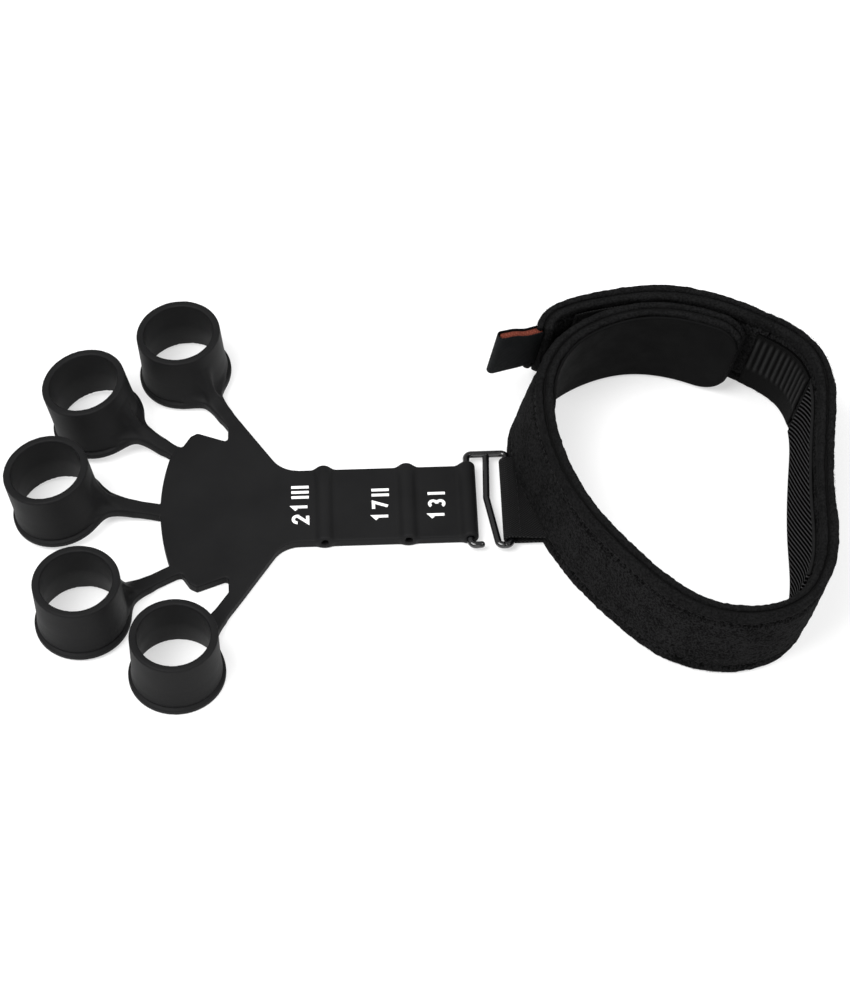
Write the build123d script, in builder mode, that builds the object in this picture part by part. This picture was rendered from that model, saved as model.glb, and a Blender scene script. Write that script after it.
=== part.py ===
from build123d import *

# Finger exerciser: five finger rings on a palm plate, a graded elastic band, a wire hook and a wrist strap.
# Millimetres. The origin is the centre of the palm plate's underside, on the table.
# +X runs along the band from the finger rings to the wrist strap, +Z is up.
# Fingers are numbered 1 to 5 from the +Y side round to the -Y side.
import os
from math import cos, radians, sin

# Silicone sheet that makes the palm plate, the arms and the band
sheet_thickness = 3.2
band_width = 26.8
edge_round = 0.4
shoulder_round = 7.0
notch_round = 0.7

# Palm plate
shoulder_x = 13.1
outer_root = (0.5, 33.2)
outer_root_inside = (-3.1, 30.9)
notch_corner = (-3.2, 25.2)
tooth_front = (-12.4, 28.9)
tooth_back = (-14.5, 27.6)
valley = (-16.9, 23.6)
middle_root_outside = (-18.4, 24.1)
middle_root_inside = (-20.3, 20.6)
palm_bulge = (-22.4, 11.4)
palm_back_x = -23.3
middle_arm_width = 4.5

# Finger rings
ring_height = 19.8
rim_outer_radius = 12.75
rim_inner_radius = 10.5
base_inner_radius = 12.3
bead_radius = 14.1
bead_height = 1.9
grip_length = 9.0
ring_places = [(-16.0, 54.0), (-42.0, 34.5), (-53.0, 2.0), (-45.4, -37.8), (-18.0, -57.5)]
ring_leans = [4.0, 10.5, 8.5, 2.0, 0.0]

# Finger arms
outer_arm_width = 4.3
inner_arm_width = 4.0
arm_flare = 13.0
gusset_length = 9.0
gusset_height = 9.0
gusset_width = 3.2

# Elastic band, its fold, and its cross tunnels for the hook
fold_start_x = 31.0
fold_end_x = 37.0
fold_gap = 0.1
tunnel_radius = 2.8
tunnel_length = 29.0
palm_tunnel_x = 25.4
band_tunnel_positions = [50.2, 68.4]
bore_clearance = 0.08

# Printed level marks
mark_height = 5.2
mark_stroke = 0.95
mark_thickness = 0.12
mark_positions = [18.3, 42.2, 58.9]
mark_gap = 0.02

# Wire hook
wire_radius = 1.05
hook_z = 2.8
hook_left_x = band_tunnel_positions[-1]
hook_right_x = 80.4
hook_top_y = 17.6
hook_bottom_y = -16.7
hook_bend = 1.6
middle_leg_top_x = 74.4
middle_leg_knee = (73.8, 1.0)
middle_leg_bottom_x = 76.7

# Keeper webbing that joins the hook to the strap
keeper_width = 30.0
keeper_ply = 1.1
keeper_bore_gap = 0.15
keeper_reach = 9.0
keeper_low = 0.9
keeper_high = 3.5
stitch_length = 1.7
stitch_width = 0.35
stitch_pitch = 2.6

# Wrist strap: a padded ribbon stood on its edge, leaning a little to one side
strap_width = 34.0
strap_lean = (5.0, -5.0)
half_thickness = 2.6
plush_inner_face = 0.6
core_outer_face = 0.5
core_inner_face = -0.3
lining_outer_face = -0.4
core_recess = 1.2
strap_line = [
    (151.0, 40.2), (137.0, 47.0), (122.0, 49.6), (108.0, 46.2), (96.5, 38.0), (90.2, 26.0),
    (88.9, 12.0), (92.0, -8.0), (99.5, -26.0), (113.5, -46.0), (128.0, -59.3), (143.0, -63.2),
    (157.0, -58.6), (164.8, -46.0), (167.6, -22.0), (170.8, 6.0), (172.0, 23.0), (168.5, 34.0),
    (161.5, 41.2), (153.8, 46.4),
]
flap_line = [
    (153.5, 46.6), (147.5, 50.0), (137.5, 54.0), (124.0, 56.3), (109.0, 54.6), (97.0, 51.2),
    (92.3, 47.8), (90.2, 42.6),
]
tongue_corner = 9.0

# Trim on the inside of the strap, and the seam threads on its outside
trim_gap = 0.1
panel_thickness = 0.8
panel_end = (88.9, 12.0)
webbing_thickness = 1.1
webbing_start = (157.0, -58.6)
webbing_end = (172.0, 23.0)
elastic_end_share = 0.985
elastic_thickness = 0.6
rib_count = 11
rib_depth = 0.5
trim_margin = 1.5
seam_start = 0.31
seam_size = 0.4
seam_margin = 4.4

# Hook tape under the flap, and the pull tab
fastener_thickness = 0.5
fastener_start = 0.25
fastener_end = 0.8
fastener_margin = 3.0
tab_root = (85.6, 42.2)
tab_tip = (77.4, 39.9)
tab_low = 15.5
tab_high = 33.6
tab_half_thickness = 1.4
tab_core_half = 1.0

os.makedirs("parts", exist_ok=True)


def corners(sketch, places):
    """The sketch's corners that lie at the given places or at their mirror images in Y."""
    wanted = []
    for vertex in sketch.vertices():
        for x, y in places:
            if abs(vertex.X - x) < 0.05 and abs(abs(vertex.Y) - y) < 0.05:
                wanted.append(vertex)
    return wanted


def save(piece, label):
    piece.part.label = label
    export_step(piece.part, "parts/" + label + ".step")


def build_rods(positions, radius):
    """Rods across the sheet, as long as the cross tunnels and centred on the hook wire's height."""
    with BuildPart() as rods:
        with BuildSketch(Plane.XZ.offset(-tunnel_length / 2)):
            with Locations([(x, tunnel_radius) for x in positions]):
                Circle(radius)
        extrude(amount=tunnel_length)
    return rods


# ---- Palm plate with the strongest level's tunnel ----

with BuildPart() as palm_plate:
    with BuildSketch():
        with BuildLine():
            Polyline(
                (fold_start_x, 0),
                (fold_start_x, band_width / 2),
                (shoulder_x, band_width / 2),
                outer_root,
                outer_root_inside,
                notch_corner,
                tooth_front,
                tooth_back,
                valley,
                middle_root_outside,
                middle_root_inside,
            )
            ThreePointArc(middle_root_inside, palm_bulge, (palm_back_x, middle_arm_width / 2))
            Line((palm_back_x, middle_arm_width / 2), (palm_back_x, 0))
            mirror(about=Plane.XZ)
        palm_outline = make_face()
        fillet(corners(palm_outline, [(shoulder_x, band_width / 2)]), shoulder_round)
        fillet(corners(palm_outline, [notch_corner, tooth_front, tooth_back, valley]), notch_round)
    extrude(amount=sheet_thickness)
    chamfer(palm_plate.edges().group_by(Axis.Z)[-1], edge_round / 2)
    add(build_rods([palm_tunnel_x], tunnel_radius))
    add(build_rods([palm_tunnel_x], wire_radius + bore_clearance), mode=Mode.SUBTRACT)
save(palm_plate, "palm_plate")


# ---- Finger rings ----

def ring_axis(lean):
    return Vector(-sin(radians(lean)), 0, cos(radians(lean)))


def ring_base(place, lean):
    """Centre of the ring's base, raised so that the leaning base bead just touches the table."""
    return Vector(place[0], place[1], bead_radius * sin(radians(lean)))


def build_ring(place, lean, solid_core):
    """One finger ring. With solid_core the bore is left filled, to trim an arm against its outside."""
    base = ring_base(place, lean)
    axis = ring_axis(lean)
    section = Plane(origin=base, x_dir=(cos(radians(lean)), 0, sin(radians(lean))), z_dir=(0, -1, 0))
    inner = 0.0 if solid_core else 1.0
    with BuildPart() as ring:
        with BuildSketch(section):
            with BuildLine():
                Polyline(
                    (base_inner_radius * inner, 0),
                    (bead_radius - edge_round, 0),
                    (bead_radius, edge_round),
                    (bead_radius, bead_height),
                    (bead_radius - 0.65, bead_height + 0.5),
                )
                Spline(
                    (bead_radius - 0.65, bead_height + 0.5),
                    (rim_outer_radius + 0.08, ring_height * 0.45),
                    (rim_outer_radius, ring_height - 1.5 * edge_round),
                )
                Polyline(
                    (rim_outer_radius, ring_height - 1.5 * edge_round),
                    (rim_outer_radius - edge_round, ring_height),
                    ((rim_inner_radius + edge_round) * inner, ring_height),
                )
                if not solid_core:
                    Polyline(
                        (rim_inner_radius + edge_round, ring_height),
                        (rim_inner_radius, ring_height - edge_round),
                        (rim_inner_radius, ring_height - grip_length),
                        (base_inner_radius, 0),
                    )
                else:
                    Line((0, ring_height), (0, 0))
            make_face()
        revolve(axis=Axis(base, axis))
    return ring


finger_rings = []
for number, (place, lean) in enumerate(zip(ring_places, ring_leans), start=1):
    finger_ring = build_ring(place, lean, False)
    save(finger_ring, f"finger_ring_{number}")
    finger_rings.append(finger_ring)


# ---- Finger arms ----

def midpoint(a, b):
    return ((a[0] + b[0]) / 2, (a[1] + b[1]) / 2)


outer_middle = midpoint(outer_root, outer_root_inside)
inner_middle = midpoint(middle_root_outside, middle_root_inside)
arm_roots = [
    outer_middle,
    inner_middle,
    (palm_back_x, 0),
    (inner_middle[0], -inner_middle[1]),
    (outer_middle[0], -outer_middle[1]),
]
arm_widths = [outer_arm_width, inner_arm_width, middle_arm_width, inner_arm_width, outer_arm_width]


def arm_plane(root, place, lean):
    """Mid-plane of one arm: from its root in the palm plate to the foot of its ring's wall."""
    start = Vector(root[0], root[1], sheet_thickness / 2)
    base = ring_base(place, lean)
    axis = ring_axis(lean)
    towards = start - base
    towards = (towards - axis * towards.dot(axis)).normalized()
    foot = base + towards * rim_outer_radius + axis * (sheet_thickness / 2)
    along = (foot - start).normalized()
    across = Vector(0, 0, 1).cross(along).normalized()
    return Plane(origin=start, x_dir=along, z_dir=along.cross(across)), (foot - start).length


def build_arm(root, width, place, lean):
    """One arm: a strip that flares and rises into a gusset where it meets the ring."""
    middle, length = arm_plane(root, place, lean)
    upright = Plane(origin=middle.origin, x_dir=middle.x_dir, z_dir=-middle.y_dir)
    envelope = build_ring(place, lean, True).part
    straight = length * 0.45
    with BuildPart() as arm:
        with BuildSketch(middle):
            with BuildLine():
                Polyline((straight, width / 2), (0, width / 2), (0, 0))
                Spline(
                    (straight, width / 2),
                    (length + 1.5, arm_flare / 2),
                    tangents=[(1, 0), (0.5, 1)],
                )
                Polyline((length + 1.5, arm_flare / 2), (length + 4.0, arm_flare / 2), (length + 4.0, 0))
                mirror(about=Plane.XZ)
            make_face()
        extrude(amount=sheet_thickness / 2, both=True)
        with BuildSketch(upright):
            with BuildLine():
                Polyline(
                    (length + 0.8, sheet_thickness / 2 + gusset_height),
                    (length + 3.0, sheet_thickness / 2 + gusset_height),
                    (length + 3.0, 0),
                    (length - gusset_length, 0),
                    (length - gusset_length, sheet_thickness / 2),
                )
                Spline(
                    (length - gusset_length, sheet_thickness / 2),
                    (length + 0.8, sheet_thickness / 2 + gusset_height),
                    tangents=[(1, 0.15), (0.2, 1)],
                )
            make_face()
        extrude(amount=gusset_width / 2, both=True)
        add(envelope, mode=Mode.SUBTRACT)
        with Locations((0, 0, -5)):
            Box(400, 400, 10, mode=Mode.SUBTRACT)
        add(palm_plate.part, mode=Mode.SUBTRACT)
    return arm


finger_arms = []
for number in range(1, 6):
    finger_arm = build_arm(
        arm_roots[number - 1], arm_widths[number - 1], ring_places[number - 1], ring_leans[number - 1]
    )
    save(finger_arm, f"finger_arm_{number}")
    finger_arms.append(finger_arm)


# ---- Elastic band: a short fold and the part with the other two tunnels ----

with BuildPart() as band_fold:
    with BuildSketch():
        with Locations(((fold_start_x + fold_end_x) / 2, 0)):
            Rectangle(fold_end_x - fold_start_x - 2 * fold_gap, band_width)
    extrude(amount=sheet_thickness)
    chamfer(band_fold.edges().filter_by(Axis.X).group_by(Axis.Z)[-1], edge_round / 2)
save(band_fold, "band_fold")

band_end_x = band_tunnel_positions[-1]

with BuildPart() as tension_band:
    with BuildSketch():
        with Locations(((fold_end_x + band_end_x) / 2, 0)):
            Rectangle(band_end_x - fold_end_x, band_width)
    extrude(amount=sheet_thickness)
    chamfer(tension_band.edges().filter_by(Axis.X).group_by(Axis.Z)[-1], edge_round / 2)
    add(build_rods(band_tunnel_positions, tunnel_radius))
    add(build_rods(band_tunnel_positions, wire_radius + bore_clearance), mode=Mode.SUBTRACT)
save(tension_band, "tension_band")


# ---- Level marks, printed on the band: a number and one bar for each level ----

def digit_strokes(digit, left):
    """Centre lines of one digit's strokes, standing about the local X axis, mark_height tall."""
    tall = mark_height - mark_stroke
    wide = 0.58 * tall
    top = tall / 2
    if digit == "1":
        return [Polyline((left + 0.15 * wide, 0.55 * top), (left + 0.6 * wide, top), (left + 0.6 * wide, -top))]
    if digit == "7":
        return [Polyline((left, top), (left + wide, top), (left + 0.35 * wide, -top))]
    if digit == "2":
        bowl = wide / 2
        return [
            CenterArc((left + bowl, top - bowl), bowl, -20, 200),
            Polyline((left + wide, top - bowl), (left, -top), (left + wide, -top)),
        ]
    bowl = tall / 4
    return [
        CenterArc((left + wide / 2, bowl), bowl, -90, 235),
        CenterArc((left + wide / 2, -bowl), bowl, 90, -235),
    ]


def build_mark(number, bars, x):
    """The number reads towards +Y, followed by one bar for each level."""
    wide = 0.58 * (mark_height - mark_stroke)
    step = wide + 1.9
    top = Plane(
        origin=(x, -7.0, sheet_thickness + mark_gap),
        x_dir=(0, 1, 0),
        z_dir=(0, 0, 1),
    )
    strokes = []
    for index, digit in enumerate(number):
        strokes += digit_strokes(digit, index * step + mark_stroke / 2)
    with BuildPart() as mark:
        for stroke in strokes:
            with BuildSketch(top):
                with BuildLine():
                    add(stroke)
                trace(line_width=mark_stroke)
            extrude(amount=mark_thickness)
        with BuildSketch(top):
            for index in range(bars):
                with Locations((2 * step + 1.2 + 1.9 * index, 0)):
                    Rectangle(mark_stroke, mark_height)
        extrude(amount=mark_thickness)
    return mark


level_mark_21 = build_mark("21", 3, mark_positions[0])
save(level_mark_21, "level_mark_21")
level_mark_17 = build_mark("17", 2, mark_positions[1])
save(level_mark_17, "level_mark_17")
level_mark_13 = build_mark("13", 1, mark_positions[2])
save(level_mark_13, "level_mark_13")


# ---- Wire hook ----

hook_bottom_x = (hook_right_x + middle_leg_bottom_x) / 2

with BuildPart() as wire_hook:
    with BuildLine(Plane.XY.offset(hook_z)) as open_leg:
        FilletPolyline(
            (hook_left_x + 4.2, hook_bottom_y + 0.5),
            (hook_left_x, hook_bottom_y + 0.2),
            (hook_left_x, hook_top_y),
            (hook_right_x, hook_top_y),
            (hook_right_x, hook_bottom_y),
            (hook_bottom_x, hook_bottom_y),
            radius=hook_bend,
        )
    with BuildSketch(Plane(origin=open_leg.line @ 0, z_dir=open_leg.line % 0)):
        Circle(wire_radius)
    sweep(path=open_leg.line)
    with BuildLine(Plane.XY.offset(hook_z)) as middle_leg:
        FilletPolyline(
            (hook_bottom_x, hook_bottom_y),
            (middle_leg_bottom_x, hook_bottom_y),
            middle_leg_knee,
            (middle_leg_top_x, hook_top_y),
            radius=hook_bend,
        )
    with BuildSketch(Plane(origin=middle_leg.line @ 0, z_dir=middle_leg.line % 0)):
        Circle(wire_radius)
    sweep(path=middle_leg.line)
save(wire_hook, "wire_hook")


# ---- Wrist strap ----

lean_direction = Vector(strap_lean[0], strap_lean[1], strap_width).normalized()
strap_path = Spline(*strap_line)
flap_path = Spline(*flap_line)


def wall_points(path, start, end, offset, count):
    """Points beside the path, offset outwards from its centre line, from share start to share end."""
    points = []
    for step in range(count + 1):
        share = start + (end - start) * step / count
        tangent = path.tangent_at(share)
        outward = Vector(tangent.Y, -tangent.X, 0)
        points.append(path.position_at(share) + outward * offset)
    return points


def lean_shift(height):
    """How far the leaning strap has moved sideways at this height, from its middle."""
    share = height / strap_width - 0.5
    return Vector(strap_lean[0] * share, strap_lean[1] * share, height)


def build_wall(path, start, end, inside, outside, low, high, count):
    """A leaning wall that follows the path between two offsets and two heights."""
    with BuildPart() as wall:
        with BuildSketch(Plane(lean_shift(low))):
            with BuildLine():
                inner_points = wall_points(path, start, end, inside, count)
                outer_points = wall_points(path, start, end, outside, count)
                Spline(*inner_points)
                Spline(*outer_points)
                Line(inner_points[0], outer_points[0])
                Line(inner_points[-1], outer_points[-1])
            make_face()
        extrude(amount=(high - low) / lean_direction.Z, dir=lean_direction)
    return wall


panel_share = strap_path.param_at_point(Vector(*panel_end))
webbing_low_share = strap_path.param_at_point(Vector(*webbing_start))
webbing_high_share = strap_path.param_at_point(Vector(*webbing_end))


def tongue_cutter():
    """What is cut from the strap's inner end to round both of its corners."""
    along = strap_path.tangent_at(0)
    outward = Vector(along.Y, -along.X, 0)
    start = strap_path.position_at(0) + lean_shift(0)
    with BuildPart() as cutter:
        for low, high, direction in ((0, 0, 1), (strap_width, strap_width, -1)):
            foot = strap_path.position_at(0) + lean_shift(low) - outward * 4.0
            with BuildSketch(Plane(origin=foot, x_dir=along, z_dir=outward)):
                with Locations((tongue_corner / 2 - 1, direction * (tongue_corner / 2 - 1))):
                    Rectangle(tongue_corner + 2, tongue_corner + 2)
                with Locations((tongue_corner, direction * tongue_corner)):
                    Circle(tongue_corner, mode=Mode.SUBTRACT)
            extrude(amount=6.7)
    return cutter.part


tongue_cut = tongue_cutter()

with BuildPart() as strap_plush:
    add(build_wall(strap_path, 0, 1, plush_inner_face, half_thickness, 0, strap_width, 60))
    add(tongue_cut, mode=Mode.SUBTRACT)
save(strap_plush, "strap_plush")

with BuildPart() as strap_core:
    add(build_wall(
        strap_path, 0, 1, core_inner_face, core_outer_face, core_recess, strap_width - core_recess, 60
    ))
    add(tongue_cut, mode=Mode.SUBTRACT)
save(strap_core, "strap_core")

with BuildPart() as strap_lining:
    add(build_wall(strap_path, 0, 1, -half_thickness, lining_outer_face, 0, strap_width, 60))
    add(tongue_cut, mode=Mode.SUBTRACT)
save(strap_lining, "strap_lining")

trim_face = -half_thickness - trim_gap

with BuildPart() as tongue_panel:
    add(build_wall(
        strap_path, 0, panel_share, trim_face - panel_thickness, trim_face,
        trim_margin / 2, strap_width - trim_margin, 30
    ))
    add(tongue_cut, mode=Mode.SUBTRACT)
save(tongue_panel, "tongue_panel")

reinforcing_webbing = build_wall(
    strap_path, webbing_low_share, webbing_high_share - 0.004, trim_face - webbing_thickness, trim_face,
    trim_margin, strap_width - trim_margin, 30
)
save(reinforcing_webbing, "reinforcing_webbing")

with BuildPart() as ribbed_elastic:
    add(build_wall(
        strap_path, webbing_high_share + 0.004, elastic_end_share, trim_face - elastic_thickness,
        trim_face, trim_margin, strap_width - trim_margin, 12
    ))
    rib_share = (elastic_end_share - webbing_high_share - 0.004) / rib_count
    for rib in range(rib_count):
        rib_start = webbing_high_share + 0.004 + (rib + 0.25) * rib_share
        add(build_wall(
            strap_path, rib_start, rib_start + 0.5 * rib_share,
            trim_face - elastic_thickness - rib_depth, trim_face - elastic_thickness / 2,
            trim_margin, strap_width - trim_margin, 2
        ))
save(ribbed_elastic, "ribbed_elastic")

seam_face = half_thickness + trim_gap / 2
with BuildPart() as seam_threads:
    for seam_height in (seam_margin, strap_width - seam_margin):
        add(build_wall(
            strap_path, seam_start, 0.995, seam_face, seam_face + seam_size,
            seam_height - seam_size / 2, seam_height + seam_size / 2, 50
        ))
save(seam_threads, "seam_threads")


# ---- Keeper webbing: a loop round the hook's right leg, sewn to the foot of the strap ----

keeper_radius = wire_radius + keeper_bore_gap + keeper_ply
strap_block = build_wall(strap_path, 0.2, 0.5, -6.0, seam_face + seam_size, -1.0, strap_width, 30)

with BuildPart() as keeper_webbing:
    with BuildSketch(Plane.XZ.offset(-keeper_width / 2)):
        with Locations((hook_right_x, hook_z)):
            Circle(keeper_radius)
        with Locations((hook_right_x + keeper_reach - 0.5, (keeper_low + keeper_high) / 2)):
            Rectangle(1.0, keeper_high - keeper_low)
        make_hull()
        with Locations((hook_right_x, hook_z)):
            Circle(wire_radius + keeper_bore_gap, mode=Mode.SUBTRACT)
    extrude(amount=keeper_width)
    add(strap_block, mode=Mode.SUBTRACT)
save(keeper_webbing, "keeper_webbing")

stitch_x = hook_right_x + 2.4
stitch_rows = int((keeper_width - 4) / stitch_pitch) + 1
with BuildPart() as keeper_stitching:
    with Locations((stitch_x, 0, hook_z + keeper_radius + stitch_width / 2)):
        with GridLocations(1, stitch_pitch, 1, stitch_rows):
            Box(stitch_width, stitch_length, stitch_width)
save(keeper_stitching, "keeper_stitching")


# ---- Closing flap: the strap's outer end, pressed onto the plush with hook tape ----

flap_plush = build_wall(flap_path, 0, 1, plush_inner_face, half_thickness, 0, strap_width, 24)
save(flap_plush, "flap_plush")

flap_core = build_wall(
    flap_path, 0.005, 0.985, core_inner_face, core_outer_face, core_recess, strap_width - core_recess, 24
)
save(flap_core, "flap_core")

flap_lining = build_wall(flap_path, 0, 1, -half_thickness, lining_outer_face, 0, strap_width, 24)
save(flap_lining, "flap_lining")

flap_hook_tape = build_wall(
    flap_path, fastener_start, fastener_end, trim_face - fastener_thickness, trim_face,
    fastener_margin, strap_width - fastener_margin, 16
)
save(flap_hook_tape, "flap_hook_tape")

with BuildPart() as flap_seam_threads:
    for seam_height in (seam_margin, strap_width - seam_margin):
        add(build_wall(
            flap_path, 0.01, 0.97, seam_face, seam_face + seam_size,
            seam_height - seam_size / 2, seam_height + seam_size / 2, 20
        ))
save(flap_seam_threads, "flap_seam_threads")


# ---- Pull tab: a folded ribbon with a coloured core, hinged at the flap's end ----

tab_line = Vector(*tab_tip) - Vector(*tab_root)
tab_rise = (tab_high - tab_low) / lean_direction.Z


def tab_sketch_plane(height):
    return Plane(
        origin=Vector(*midpoint(tab_root, tab_tip)) + lean_shift(height),
        x_dir=tab_line.normalized(),
        z_dir=(0, 0, 1),
    )


with BuildPart() as pull_tab:
    with BuildSketch(tab_sketch_plane(tab_low)):
        SlotCenterToCenter(tab_line.length, 2 * tab_half_thickness)
        SlotCenterToCenter(tab_line.length, 2 * tab_core_half + 2 * trim_gap, mode=Mode.SUBTRACT)
    extrude(amount=tab_rise, dir=lean_direction)
save(pull_tab, "pull_tab")

with BuildPart() as pull_tab_core:
    with BuildSketch(tab_sketch_plane(tab_low)):
        SlotCenterToCenter(tab_line.length, 2 * tab_core_half)
    extrude(amount=tab_rise, dir=lean_direction)
save(pull_tab_core, "pull_tab_core")
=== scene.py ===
import math

import bpy
import numpy as np
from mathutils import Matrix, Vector


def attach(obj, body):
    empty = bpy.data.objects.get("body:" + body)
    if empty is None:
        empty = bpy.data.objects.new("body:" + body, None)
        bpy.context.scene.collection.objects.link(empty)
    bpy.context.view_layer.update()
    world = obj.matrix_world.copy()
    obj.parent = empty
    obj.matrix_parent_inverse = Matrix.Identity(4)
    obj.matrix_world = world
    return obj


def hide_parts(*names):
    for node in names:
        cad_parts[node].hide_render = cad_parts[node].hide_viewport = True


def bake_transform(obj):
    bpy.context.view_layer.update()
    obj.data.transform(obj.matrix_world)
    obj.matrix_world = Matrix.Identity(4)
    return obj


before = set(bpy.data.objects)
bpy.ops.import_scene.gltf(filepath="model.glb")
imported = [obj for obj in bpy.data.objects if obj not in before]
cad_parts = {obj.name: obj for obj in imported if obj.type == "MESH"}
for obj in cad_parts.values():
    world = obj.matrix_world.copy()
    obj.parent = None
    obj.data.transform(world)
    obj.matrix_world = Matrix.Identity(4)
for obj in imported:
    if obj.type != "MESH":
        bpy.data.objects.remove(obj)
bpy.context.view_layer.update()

MM = 0.001
rng = np.random.default_rng(41)

# ---------------------------------------------------------------- dimensions, as in the CAD source
SHEET = 3.2
BAND_WIDTH = 26.8
BAND_END = 68.4
FOLD_START, FOLD_END = 31.0, 37.0
RING_HEIGHT = 19.8
RIM_OUTER, RIM_INNER, BASE_INNER, BEAD = 12.75, 10.5, 12.3, 14.1
GRIP_LENGTH = 9.0
RING_PLACES = [(-16.0, 54.0), (-42.0, 34.5), (-53.0, 2.0), (-45.4, -37.8), (-18.0, -57.5)]
RING_LEANS = [4.0, 10.5, 8.5, 2.0, 0.0]
ARM_ROOTS = [(-1.3, 32.05), (-19.35, 22.35), (-23.3, 0.0), (-19.35, -22.35), (-1.3, -32.05)]
ARM_WIDTHS = [4.3, 4.0, 4.5, 4.0, 4.3]
ARM_FLARE = 13.0
GUSSET_LENGTH, GUSSET_HEIGHT = 9.0, 9.0
TUNNELS = [25.4, 50.2, 68.4]
RIDGE_RADIUS, RIDGE_LENGTH = 2.5, 27.9
WIRE = 1.05
BORE = 1.13
HOOK_Z = 2.8
HOOK_LEFT, HOOK_RIGHT, HOOK_TOP, HOOK_BOTTOM = 68.4, 80.4, 17.6, -16.7
MIDDLE_LEG = [(76.7, -16.7), (73.8, 1.0), (74.4, 17.6)]
HOOK_BEND = 1.6
KEEPER_WIDTH = 30.0
KEEPER_FREE_END, KEEPER_END = 82.2, 90.5
STRAP_WIDTH = 34.0
TAPE_LOW, TAPE_HIGH = 1.5, 28.6
LEAN = (5.0, -5.0)
STRAP_LINE = [
    (151.0, 40.2), (137.0, 47.0), (122.0, 49.6), (108.0, 46.2), (96.5, 38.0), (90.2, 26.0),
    (88.9, 12.0), (92.0, -8.0), (99.5, -26.0), (113.5, -46.0), (128.0, -59.3), (143.0, -63.2),
    (157.0, -58.6), (164.8, -46.0), (167.6, -22.0), (170.8, 6.0), (172.0, 23.0), (168.5, 34.0),
    (161.5, 41.2), (153.8, 46.4),
]
FLAP_LINE = [
    (147.5, 50.0), (137.5, 54.0), (124.0, 56.3), (109.0, 54.6), (97.0, 51.2), (92.3, 47.8),
    (90.2, 42.6),
]
HINGE = (155.04, 48.70)
ELASTIC_START, ELASTIC_END, RIB_COUNT = 288.2, 313.9, 11
RIB_PITCH = (ELASTIC_END - ELASTIC_START) / RIB_COUNT
RIB_MIDDLE, RIB_REACH = 18.5, 9.0
PANEL_END, WEBBING_START, WEBBING_END = (88.9, 12.0), (157.0, -58.6), (172.0, 23.0)
TAB_LINE = [(89.9, 44.1), (88.0, 43.1), (85.6, 42.2), (81.5, 41.05), (77.4, 39.9)]
TAB_LOW, TAB_HIGH = 15.5, 33.6


# ---------------------------------------------------------------- materials
def new_material(name, colour, roughness, specular=0.5):
    material = bpy.data.materials.new(name)
    material.use_nodes = True
    shader = material.node_tree.nodes["Principled BSDF"]
    shader.inputs["Base Color"].default_value = (*colour, 1)
    shader.inputs["Roughness"].default_value = roughness
    shader.inputs["Specular IOR Level"].default_value = specular
    return material, shader


class Nodes:
    """Short names for the few shader nodes that every material is made of."""

    def __init__(self, material):
        self.tree = material.node_tree
        self.object_place = self.add("ShaderNodeTexCoord").outputs["Object"]

    def add(self, kind, **values):
        node = self.tree.nodes.new(kind)
        for key, value in values.items():
            setattr(node, key, value)
        return node

    def link(self, source, target):
        self.tree.links.new(source, target)

    def noise(self, size_mm, detail=3.0, roughness=0.55, place=None):
        node = self.add("ShaderNodeTexNoise")
        node.inputs["Scale"].default_value = 1000.0 / size_mm
        node.inputs["Detail"].default_value = detail
        node.inputs["Roughness"].default_value = roughness
        self.link(place or self.object_place, node.inputs["Vector"])
        return node.outputs["Fac"]

    def math(self, operation, a, b=0.0, c=0.0):
        node = self.add("ShaderNodeMath", operation=operation)
        for socket, value in zip(node.inputs, (a, b, c)):
            if isinstance(value, (int, float)):
                socket.default_value = value
            else:
                self.link(value, socket)
        return node.outputs[0]

    def remap(self, value, low, high, to_low, to_high):
        node = self.add("ShaderNodeMapRange")
        self.link(value, node.inputs["Value"])
        for name, number in zip(("From Min", "From Max", "To Min", "To Max"), (low, high, to_low, to_high)):
            node.inputs[name].default_value = number
        return node.outputs["Result"]

    def colours(self, value, dark, light):
        node = self.add("ShaderNodeMix", data_type="RGBA")
        self.link(value, node.inputs["Factor"])
        node.inputs["A"].default_value = (*dark, 1)
        node.inputs["B"].default_value = (*light, 1)
        return node.outputs["Result"]

    def bump(self, height, depth_mm, strength=1.0, over=None):
        node = self.add("ShaderNodeBump")
        node.inputs["Strength"].default_value = strength
        node.inputs["Distance"].default_value = depth_mm * MM
        self.link(height, node.inputs["Height"])
        if over is not None:
            self.link(over, node.inputs["Normal"])
        return node.outputs["Normal"]

    def strip(self):
        """The two directions along a strip of cloth, in millimetres: along it and across it."""
        uv = self.add("ShaderNodeUVMap", uv_map="strip").outputs["UV"]
        apart = self.add("ShaderNodeSeparateXYZ")
        self.link(uv, apart.inputs[0])
        return self.math("MULTIPLY", apart.outputs["X"], 1000), self.math("MULTIPLY", apart.outputs["Y"], 1000)

    def wave(self, place, period_mm):
        """A smooth wave from 0 to 1 along place."""
        turns = self.math("MULTIPLY", place, 2 * math.pi / period_mm)
        return self.math("MULTIPLY_ADD", self.math("SINE", turns), 0.5, 0.5)


def silicone_material():
    material, shader = new_material("silicone", (0.0084, 0.0084, 0.0087), 0.5, 0.08)
    n = Nodes(material)
    smear = n.noise(16, 4)
    grain = n.noise(0.32, 3, 0.7)
    pores = n.noise(1.1, 2)
    n.link(n.colours(n.remap(smear, 0.35, 0.7, 0, 1), (0.0076, 0.0076, 0.0079), (0.0096, 0.0096, 0.0099)),
           shader.inputs["Base Color"])
    shade = n.math("MULTIPLY_ADD", grain, 0.12, n.remap(smear, 0.3, 0.7, 0.46, 0.58))
    n.link(shade, shader.inputs["Roughness"])
    fine = n.bump(grain, 0.035, 0.55)
    n.link(n.bump(pores, 0.05, 0.35, fine), shader.inputs["Normal"])
    return material


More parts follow.
